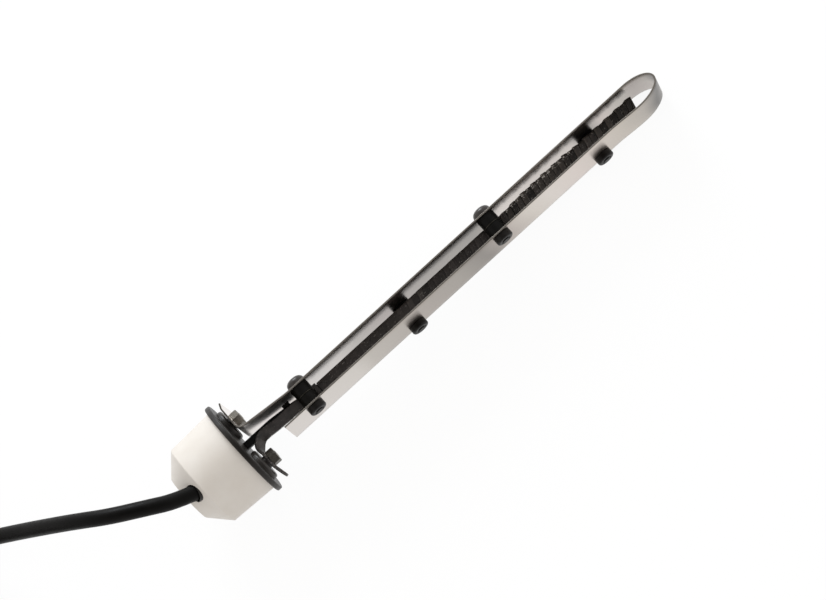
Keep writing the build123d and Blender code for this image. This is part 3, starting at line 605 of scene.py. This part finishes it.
# ---- element bar -------------------------------------------------------------------------
ELEMENT_Y = -3.7
SLEEVE_W, SLEEVE_T, SLEEVE_X0, SLEEVE_X1 = 6.4, 3.6, 44.5, 160.0
WIND_W, WIND_T, WIND_X1 = 7.2, 4.3, 237.0
TURN_ROOM_W, TURN_ROOM_T = 1.5, 1.3  # what the turns add to the wound bar's width and thickness
SHRINK = 0.2  # what the turns under the sleeve add to it
BUNCH, BUNCH_SHARE = 0.7, 8.0  # how far the turns stand out where they bunch, and mm in which that grows
LIP, LIP_BACK, LIP_SPREAD = 0.18, 1.0, 0.8  # the sleeve's thicker end: height, how far from the end, width
TURN_RISE, TURN_FALL, TURN_SINK, TURN_WANDER = 0.10, 0.08, 0.45, 0.05


def wrapped(x, outline, first_x, step_height, lift, seed):
    """Height of wound tape over a bar, and each point's place in turns along it. A turn rises over a tenth
    of its width and falls slowly to its far edge; its edges lean across the flat, the other way underneath;
    every second turn stands lift prouder, and each one's height wanders by a seeded amount."""
    chance = np.random.default_rng(seed)
    over = np.clip(outline[None, :, 1] / 0.8, -1, 1)
    place = (x[:, None] - first_x - TAPE_LEAN * outline[None, :, 0] * over) / TAPE_PITCH
    turn = np.floor(place).astype(int)
    share = place - turn
    wander = chance.normal(0, 1, 400)
    rise, fall = np.clip(share / TURN_RISE, 0, 1), np.clip((1 - share) / TURN_FALL, 0, 1) ** 0.5
    height = step_height + lift * (turn % 2) + TURN_WANDER * wander[turn % len(wander)]
    return height * rise * fall * (1 - TURN_SINK * share), place


def bar_rings(outline, x, height):
    """A bar along X: its outline carried along x, pushed out by height."""
    normal = outline_normals(outline)
    section = outline[None] + normal[None] * height[..., None]
    return np.stack([
        np.broadcast_to(x[:, None], height.shape), section[..., 0] + ELEMENT_Y, section[..., 1],
    ], -1)


def bar_lay(place, girth):
    """The lay map of a bar: mm along it, by turns of tape, and mm round it from the first point."""
    mm_round = np.broadcast_to(np.linspace(0, girth, place.shape[1]), place.shape)
    return np.stack([place * TAPE_PITCH, mm_round], -1)


def element_tape():
    """The wound end of the bar: tape turns over a rounded flat section, bunched on one shoulder between the
    third and fourth clips. Its last tenth is drawn on to a leaning end face, so that the bar ends along a
    turn's edge."""
    outline = rounded_outline(WIND_W - TURN_ROOM_W, WIND_T - TURN_ROOM_T, 0.9, 8, 9)
    x = np.arange(SLEEVE_X1, WIND_X1 + 1.0, 0.16)
    height, place = wrapped(x, outline, SLEEVE_X1, 0.42, 0.4, 7)
    grows, ends = (x - SLEEVE_X1 - 2) / BUNCH_SHARE, (CLIP_X[3] - 6 - x) / BUNCH_SHARE
    swell = np.clip(grows, 0, 1) * np.clip(ends, 0, 1)
    shoulder = np.clip(outline[:, 0] / 2.2, 0, 1) * np.clip(outline[:, 1] / 0.8, 0, 1)
    rings = bar_rings(outline, x, height + BUNCH * swell[:, None] * shoulder[None])
    end = WIND_X1 + TAPE_LEAN * (rings[..., 1] - ELEMENT_Y)
    start = SLEEVE_X1 + 0.05
    share = (rings[..., 0] - start) / (x[-1] - start)
    rings[..., 0] += np.clip((share - 0.9) / 0.1, 0, 1) * (end - x[-1])
    lay = bar_lay(place, 20)
    return skin("element_tape", rings, winding_tape, ["element_winding"], lay, crease=50)


def element_cover():
    """The sleeved stretch of the bar: the turns under it show faintly from the second clip on."""
    outline = rounded_outline(SLEEVE_W - SHRINK, SLEEVE_T - SHRINK, 1.2, 6, 6)
    x = np.arange(SLEEVE_X0, SLEEVE_X1 + 0.01, 0.33)
    faint = 0.12 + 0.55 * np.clip((x - CLIP_X[1] + 4) / 18, 0, 1)[:, None]
    height, place = wrapped(x, outline, SLEEVE_X0, 0.2, 0.06, 11)
    lip = LIP * np.exp(-((x - SLEEVE_X1 + LIP_BACK) / LIP_SPREAD) ** 2)[:, None]
    rings = bar_rings(outline, x, height * faint + lip)
    lay = bar_lay(place, 18)
    return skin("element_cover", rings, sleeve_tape, ["element_sleeve"], lay, crease=50)


# ---- feed strap --------------------------------------------------------------------------
STRAP_W, STRAP_T, CORE_T = 5.4, 1.6, 2.2
STRAP_END_X, STRAP_LAP_Y, STRAP_EASE_X = 44.0, -3.0, 20.5
STRAP_TURN_X, STRAP_TURN_Y = 11.7, -2.4
STRAP_TAIL, STRAP_TAIL_Y, TAIL_BEND = (6.95, -23.4), -16.6, 6.0
STRAP_STEP = 0.4
DROP = 3.1  # mm past the turn in which the strap comes down to the stud's height
OVER_ROLL = 0.055  # how far, in quarter turns, the roll runs ahead and then behind
FOLD, FOLD_AT, FOLD_SPREAD = 0.3, 0.3, 0.05  # a dent where the strap was bent: depth in mm, place, width
POINT, BLUNT = 4.5, 0.3  # length of the strap's point, and the share of the width at its very end


def strap_line():
    """Stations of the strap: middle, width direction, thickness direction, share of the full width, and mm
    along it. It lies flat on the bar, swings through a quarter circle while it rolls on edge, runs across
    under the feed nut and leans out to a blunt point."""
    z_lap, x_flat = (CORE_T + STRAP_T) / 2, TAB_X - STRIP_T / 2 + STRAP_T / 2
    radius = STRAP_TURN_X - x_flat
    share = np.linspace(0, 1, 30)
    lap = np.stack([
        STRAP_EASE_X + (STRAP_TURN_X - STRAP_EASE_X) * share,
        STRAP_LAP_Y + (STRAP_TURN_Y - STRAP_LAP_Y) * eased(share),
    ], -1)
    angle = np.linspace(0, pi / 2, 40)[1:]
    turn = np.stack([STRAP_TURN_X - radius * np.sin(angle), STRAP_TURN_Y - radius * (1 - np.cos(angle))], -1)
    flat_y = STRAP_TURN_Y - radius
    lean = arc_corner((x_flat, flat_y), (x_flat, STRAP_TAIL_Y), STRAP_TAIL, TAIL_BEND)
    rough_line = np.concatenate([[(STRAP_END_X, STRAP_LAP_Y)], lap, turn, lean, [STRAP_TAIL]])
    line, at = evened(rough_line, STRAP_STEP)
    along = tangents(line)
    rolled = np.clip((at - (STRAP_END_X - STRAP_TURN_X)) / (radius * pi / 2), 0, 1)
    roll = pi / 2 * (rolled + OVER_ROLL * np.sin(2 * pi * rolled))
    down = np.clip((flat_y - line[:, 1]) / DROP, 0, 1)
    middle = np.stack([line[:, 0], line[:, 1], z_lap * (1 - down)], -1)
    outwards = np.stack([along[:, 1], -along[:, 0], 0 * at], -1)
    up = np.array([[0.0, 0.0, 1.0]])
    wide = outwards * np.cos(roll)[:, None] + up * np.sin(roll)[:, None]
    thick = np.cross(wide, np.concatenate([along, 0 * at[:, None]], -1))
    fold = FOLD * np.exp(-((rolled - FOLD_AT) / FOLD_SPREAD) ** 2) * (rolled > 0)
    to_tip = np.clip((at[-1] - at) / POINT, 0, 1)
    taper = BLUNT + (1 - BLUNT) * np.sqrt(1 - (1 - to_tip) ** 2)
    return middle - thick * fold[:, None], wide, thick, taper, at


def strap_band():
    """The strap's rounded flat section carried along its stations, its edges slightly uneven."""
    middle, wide, thick, taper, at = strap_line()
    outline = rounded_outline(STRAP_W, STRAP_T, 0.45, 5, 5)
    chance = np.random.default_rng(3)
    uneven = 1 + 0.03 * np.convolve(chance.normal(0, 1, len(taper) + 4), np.ones(5) / 3, "valid")
    u = outline[None, :, 0] * (taper * uneven)[:, None]
    v = outline[None, :, 1] * (0.55 + 0.45 * taper)[:, None]
    rings = middle[:, None] + u[..., None] * wide[:, None] + v[..., None] * thick[:, None]
    lay = np.stack([np.broadcast_to(at[:, None], u.shape), u], -1)
    return skin("strap_band", rings, strap_oxide, ["feed_strap"], lay)


# ---- clip hardware -----------------------------------------------------------------------
OUTER_RETURN, INNER_RETURN = RETURN_Y + STRIP_T / 2, RETURN_Y - STRIP_T / 2
OUTER_FREE, INNER_FREE = FEED_Y - STRIP_T / 2, FEED_Y + STRIP_T / 2
BUSH_R, BROKEN, JOINT_GAP = 4.6, 0.25, 0.4  # the bush's corners are broken, and its halves stand apart
WASHER_R, WASHER_BORE, WASHER_T = BUSH_R + 0.1, 2.0, 0.34
SCREW_R, SCREW_SHORT = 1.75, 0.4  # the screw's own piece ends just inside the nut, which has its end
HEAD_R, HEAD_H, HEAD_SIDE, CROWN_R = 4.6, 3.8, 1.3, 1.7
SOCKET_R, SOCKET_DEPTH, SOCKET_EDGE = 1.5, 1.5, 0.12
NUT_R, NUT_T, NUT_ROUND = 4.35, 3.3, 1.0
RECESS_R, RECESS = 2.5, 0.35  # the shallow recess round the screw's end


def turned_across(name, profile, x, z, material, stands_for, sides=60, six=None):
    """A piece turned about an axis along Y: profile holds (y, radius) pairs. six gives each ring's share of
    a hexagon, whose radius at an angle is the flat's distance over the cosine from the flat's middle."""
    angle = np.linspace(0, 2 * pi, sides, endpoint=False)
    profile = np.array(profile, float)
    radius = np.broadcast_to(profile[:, 1:2], (len(profile), sides)).copy()
    if six is not None:
        to_flat = np.mod(angle, pi / 3) - pi / 6
        share = np.array(six)[:, None]
        radius = radius * (1 - share + share * cos(pi / 6) / np.cos(to_flat)[None])
    height = np.broadcast_to(profile[:, 0:1], radius.shape)
    rings = np.stack([x + radius * np.cos(angle), height, z + radius * np.sin(angle)], -1)
    return skin(name, rings, material, stands_for)


def quarter(y0, r0, size_y, size_r, steps):
    """A quarter of an ellipse that turns a side at radius r0 over into a face, towards higher y."""
    angle = np.linspace(0, pi / 2, steps)
    return [(y0 + size_y * sin(a), r0 - size_r * (1 - cos(a))) for a in angle]


def clip_bush(x, z, i):
    """A bush turned in two halves, their corners broken, and the thin steel washer between them."""
    joint, gap = (INNER_FREE + INNER_RETURN) / 2, JOINT_GAP / 2
    half = [(0.0, SCREW_R), (0.0, BUSH_R - BROKEN), (BROKEN, BUSH_R)]
    bush = [(INNER_FREE + y, r) for y, r in half] + [(joint - gap - y, r) for y, r in half[:0:-1]]
    bush += [(joint + gap + y, r) for y, r in half[1:]] + [(INNER_RETURN - y, r) for y, r in half[::-1]]
    turned_across(f"clip_bush_{i}", bush, x, z, bush_nylon, [f"spacer_bush_{i}"])
    near, far = joint - WASHER_T / 2, joint + WASHER_T / 2
    washer = [(near, WASHER_BORE), (near, WASHER_R), (far, WASHER_R), (far, WASHER_BORE)]
    turned_across(f"clip_washer_{i}", washer, x, z, washer_steel, ())


def clip_bolt(x, z, i):
    """A screw with a domed head over a short straight side, and a hexagon socket sunk in the crown."""
    base, top, foot = OUTER_RETURN, OUTER_RETURN + HEAD_H, OUTER_FREE - SCREW_SHORT
    shank = [(foot, 0.2), (foot, SCREW_R), (base - 0.01, SCREW_R)]
    side = [(base, HEAD_R - 0.15), (base + 0.15, HEAD_R)]
    dome = quarter(base + HEAD_SIDE, HEAD_R, HEAD_H - HEAD_SIDE, HEAD_R - CROWN_R, 14)
    floor = top - SOCKET_DEPTH
    socket = [(top, SOCKET_R + SOCKET_EDGE), (top - SOCKET_EDGE, SOCKET_R), (floor, SOCKET_R), (floor, 0.1)]
    profile = shank + side + dome + socket
    six = [0.0] * (len(profile) - len(socket)) + [1.0, 1.0, 1.0, 0.0]
    turned_across(f"clip_bolt_{i}", profile, x, z, screw_nylon_painted_light, [f"clip_screw_{i}"], six=six)


def clip_nut(x, z, i):
    """A round nut, its outer corner rounded over, with the screw's end in a shallow recess of its face."""
    end = OUTER_FREE - NUT_T
    side = [(OUTER_FREE, SCREW_R + 0.02), (OUTER_FREE, NUT_R - 0.2), (OUTER_FREE - 0.2, NUT_R)]
    corner = [(end + NUT_ROUND - y, r) for y, r in quarter(0, NUT_R, NUT_ROUND, NUT_ROUND, 8)]
    recess = [(end, RECESS_R), (end + RECESS, RECESS_R - 0.2), (end + RECESS, SCREW_R)]
    screw_end = [(end - 0.1, SCREW_R), (end - 0.4, SCREW_R - 0.3), (end - 0.35, 0.2)]
    profile = side + corner + recess + screw_end
    turned_across(f"clip_cap_nut_{i}", profile, x, z, clip_nylon, [f"clip_nut_{i}"])


strip_band()
element_tape()
element_cover()
strap_band()
for number, (clip_x, clip_z) in enumerate(zip(CLIP_X, CLIP_Z), start=1):
    clip_bush(clip_x, clip_z, number)
    clip_bolt(clip_x, clip_z, number)
    clip_nut(clip_x, clip_z, number)


# ---- cord --------------------------------------------------------------------------------
# The cord's places are millimetres in the model's own frame, with the floor at height 0. ROUTE leads from
# inside the cap, out of the grommet, over a hump and down to the floor.
CORD_D = 7.5
ROUTE = [
    (-126.57, -6.41, 36.05), (-143.42, -3.55, 46.43), (-156.8, 3.1, 52.7), (-171.5, 11.5, 53.8),
    (-185.1, 22.1, 48.6), (-198.2, 32.9, 38.0), (-212.4, 44.5, 25.8), (-227.8, 56.1, 15.2),
    (-244.7, 65.4, 8.1),
]
COIL_CENTRE = (-315.5, 28.0)
COIL_R, TURN_GAP, LAYER_GAP = 39.5, 7.6, 7.5
HALF_LANE = TURN_GAP / 2 - 0.15  # from the middle of a layer to either of its two turns
FLOOR_Z = CORD_D / 2 + 0.1
TOP_Z = FLOOR_Z + 2 * LAYER_GAP
OUTER_TURN = COIL_R + HALF_LANE
IN_DEG, OUT_DEG = 92.0, 130.0  # where the cord comes on to the coil and leaves it
STUB, LAST_RUN, TAIL, PLUG_Z = 27.5, 20.0, 30.0, 12.5  # straight runs before and after it; the plug's height
LANE_CHANGE = 0.28  # share of a turn in which the cord crosses to the next turn's place


def on_coil(radius, angle, z):
    """A point on a turn of the coil."""
    x, y = COIL_CENTRE
    return x + radius * cos(radians(angle)), y + radius * sin(radians(angle)), z


def on_tangent(angle, z, ahead):
    """A point on the straight line that touches the outer turn at angle, a length ahead of the touch."""
    x, y = on_coil(OUTER_TURN, angle, z)[:2]
    return x - ahead * sin(radians(angle)), y + ahead * cos(radians(angle)), z


def coil_points():
    """Six turns, two beside each other in three layers, from the outer one on the floor to the outer one on
    top. The points stand on the corners of a twelve-sided ring outside each turn, half a side ahead of where
    the cord touches it, and the last corner is nearer, where the cord leaves for the plug."""
    lanes = [(1, 0), (-1, 0), (-1, 1), (1, 1), (-1, 2), (1, 2)]
    steps = 12
    side = 360 / steps
    corners = [side * (i + 0.5) for i in range(len(lanes) * steps + 1)]
    last = 360 * len(lanes) + OUT_DEG - IN_DEG
    corners.append((side * len(corners) + last) / 2)
    points = []
    for angle in corners:
        turn = min(angle / 360, len(lanes) - 1e-6)
        here = int(turn)
        there = min(here + 1, len(lanes) - 1)
        share = eased(np.clip((turn - here - 1 + LANE_CHANGE) / LANE_CHANGE, 0, 1))
        lane = lanes[here][0] * (1 - share) + lanes[there][0] * share
        layer = lanes[here][1] * (1 - share) + lanes[there][1] * share
        half = side / 2 if angle < corners[-1] else last - angle
        radius = (COIL_R + lane * HALF_LANE) / cos(radians(half))
        points.append(on_coil(radius, IN_DEG + angle, FLOOR_Z + layer * LAYER_GAP))
    return points


def cord_line():
    """The whole cord's control points, from inside the cap to just inside the plug."""
    points = list(ROUTE)
    points.append(on_tangent(IN_DEG, FLOOR_Z, -STUB - LAST_RUN))
    points.append(on_tangent(IN_DEG, FLOOR_Z, -STUB))
    points += coil_points()
    points.append(on_tangent(OUT_DEG, TOP_Z - 0.8, 6.0))
    points.append(on_tangent(OUT_DEG, (TOP_Z + PLUG_Z) / 2, TAIL * 0.6))
    points.append(on_tangent(OUT_DEG, PLUG_Z, TAIL + 0.8))
    return points


def nurbs(name, points, radius):
    """A round tube along a smooth open curve that has those points as its control points."""
    data = bpy.data.curves.new(name, "CURVE")
    data.dimensions = "3D"
    spline = data.splines.new("NURBS")
    spline.points.add(len(points) - 1)
    for point, place in zip(spline.points, points):
        point.co = (*(Vector(place) * MM), 1.0)
    spline.order_u = 3
    spline.use_endpoint_u = True
    spline.resolution_u = 6
    data.bevel_depth = radius * MM
    data.bevel_resolution = 6
    data.use_fill_caps = True
    made = bpy.data.objects.new(name, data)
    bpy.context.scene.collection.objects.link(made)
    return made


cord = nurbs("mains_cord", cord_line(), CORD_D / 2)
cord.data.materials.append(cord_rubber)
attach(cord, "root")
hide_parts("cord_tube", "cord_coil")


# ---- lights, floor and world -------------------------------------------------------------
CEILING = (0.0, -0.2, 0.98)
HALF_FLOOR, OWN_WHITE = 6.0, 0.9  # half its side in metres, and the share of its white that is its own


def area_light(name, place, aim, size, power, colour=(1.0, 1.0, 1.0)):
    """A square soft light that points at a place in the model's frame."""
    data = bpy.data.lights.new(name, "AREA")
    data.shape = "SQUARE"
    data.size = size
    data.energy = power
    data.color = colour
    light = bpy.data.objects.new(name, data)
    bpy.context.scene.collection.objects.link(light)
    light.location = place
    light.rotation_mode = "QUATERNION"
    light.rotation_quaternion = (Vector(aim) - Vector(place)).to_track_quat("-Z", "Y")
    return light


def make_floor():
    """A white sheet that keeps a faint shadow: part of its white is its own, to the camera and in gloss."""
    mesh = bpy.data.meshes.new("floor")
    corners = [(x * HALF_FLOOR, y * HALF_FLOOR, 0) for x, y in ((-1, -1), (1, -1), (1, 1), (-1, 1))]
    mesh.from_pydata(corners, [], [(0, 1, 2, 3)])
    floor = bpy.data.objects.new("floor", mesh)
    bpy.context.scene.collection.objects.link(floor)
    material, tree = blank("white_sheet")
    paths = add(tree, "ShaderNodeLightPath").outputs
    seen = add(tree, "ShaderNodeMath", {
        0: paths["Is Camera Ray"], 1: paths["Is Glossy Ray"],
    }, operation="MAXIMUM")
    seen = add(tree, "ShaderNodeMath", {
        0: seen.outputs[0], 1: paths["Is Transmission Ray"],
    }, operation="MAXIMUM")
    share = add(tree, "ShaderNodeMath", {0: seen.outputs[0], 1: OWN_WHITE}, operation="MULTIPLY")
    sheet = add(tree, "ShaderNodeBsdfDiffuse", {"Color": (0.85, 0.85, 0.85, 1.0)})
    glow = add(tree, "ShaderNodeEmission", {"Color": (1.0, 1.0, 1.0, 1.0), "Strength": 1.03})
    mixed = add(tree, "ShaderNodeMixShader", {
        0: share.outputs[0], 1: sheet.outputs["BSDF"], 2: glow.outputs["Emission"],
    })
    add(tree, "ShaderNodeOutputMaterial", {"Surface": mixed.outputs["Shader"]})
    mesh.materials.append(material)


def make_world():
    """Pale even surroundings that light the object; the camera sees plain white. Gloss sees the same, but for
    an unlit patch overhead, round the direction the room's ceiling is in."""
    world = bpy.data.worlds.new("studio")
    bpy.context.scene.world = world
    world.use_nodes = True
    tree = world.node_tree
    tree.nodes.clear()
    paths = add(tree, "ShaderNodeLightPath").outputs
    way = add(tree, "ShaderNodeTexCoord").outputs["Generated"]
    height = add(tree, "ShaderNodeVectorMath", {0: way, 1: CEILING}, operation="DOT_PRODUCT")
    room = add(tree, "ShaderNodeMapRange", {
        "Value": height.outputs["Value"], "From Min": 0.62, "From Max": 0.93, "To Min": 0.8, "To Max": 0.1,
    }, interpolation_type="SMOOTHSTEP")
    fill = add(tree, "ShaderNodeBackground", {"Color": (1.0, 0.98, 0.96, 1.0), "Strength": 0.72})
    mirrored = add(tree, "ShaderNodeBackground", {
        "Color": (1.0, 0.985, 0.97, 1.0), "Strength": room.outputs["Result"],
    })
    white = add(tree, "ShaderNodeBackground", {"Color": (1.0, 1.0, 1.0, 1.0), "Strength": 1.0})
    lit = add(tree, "ShaderNodeMixShader", {
        0: paths["Is Glossy Ray"], 1: fill.outputs["Background"], 2: mirrored.outputs["Background"],
    })
    seen = add(tree, "ShaderNodeMixShader", {
        0: paths["Is Camera Ray"], 1: lit.outputs["Shader"], 2: white.outputs["Background"],
    })
    add(tree, "ShaderNodeOutputWorld", {"Surface": seen.outputs["Shader"]})


make_floor()
make_world()
area_light("key", (0.35, 1.45, 0.62), (0, 0, 0.02), 0.7, 17.0, (0.9, 0.95, 1.0))

bpy.context.scene.view_settings.view_transform = "Standard"
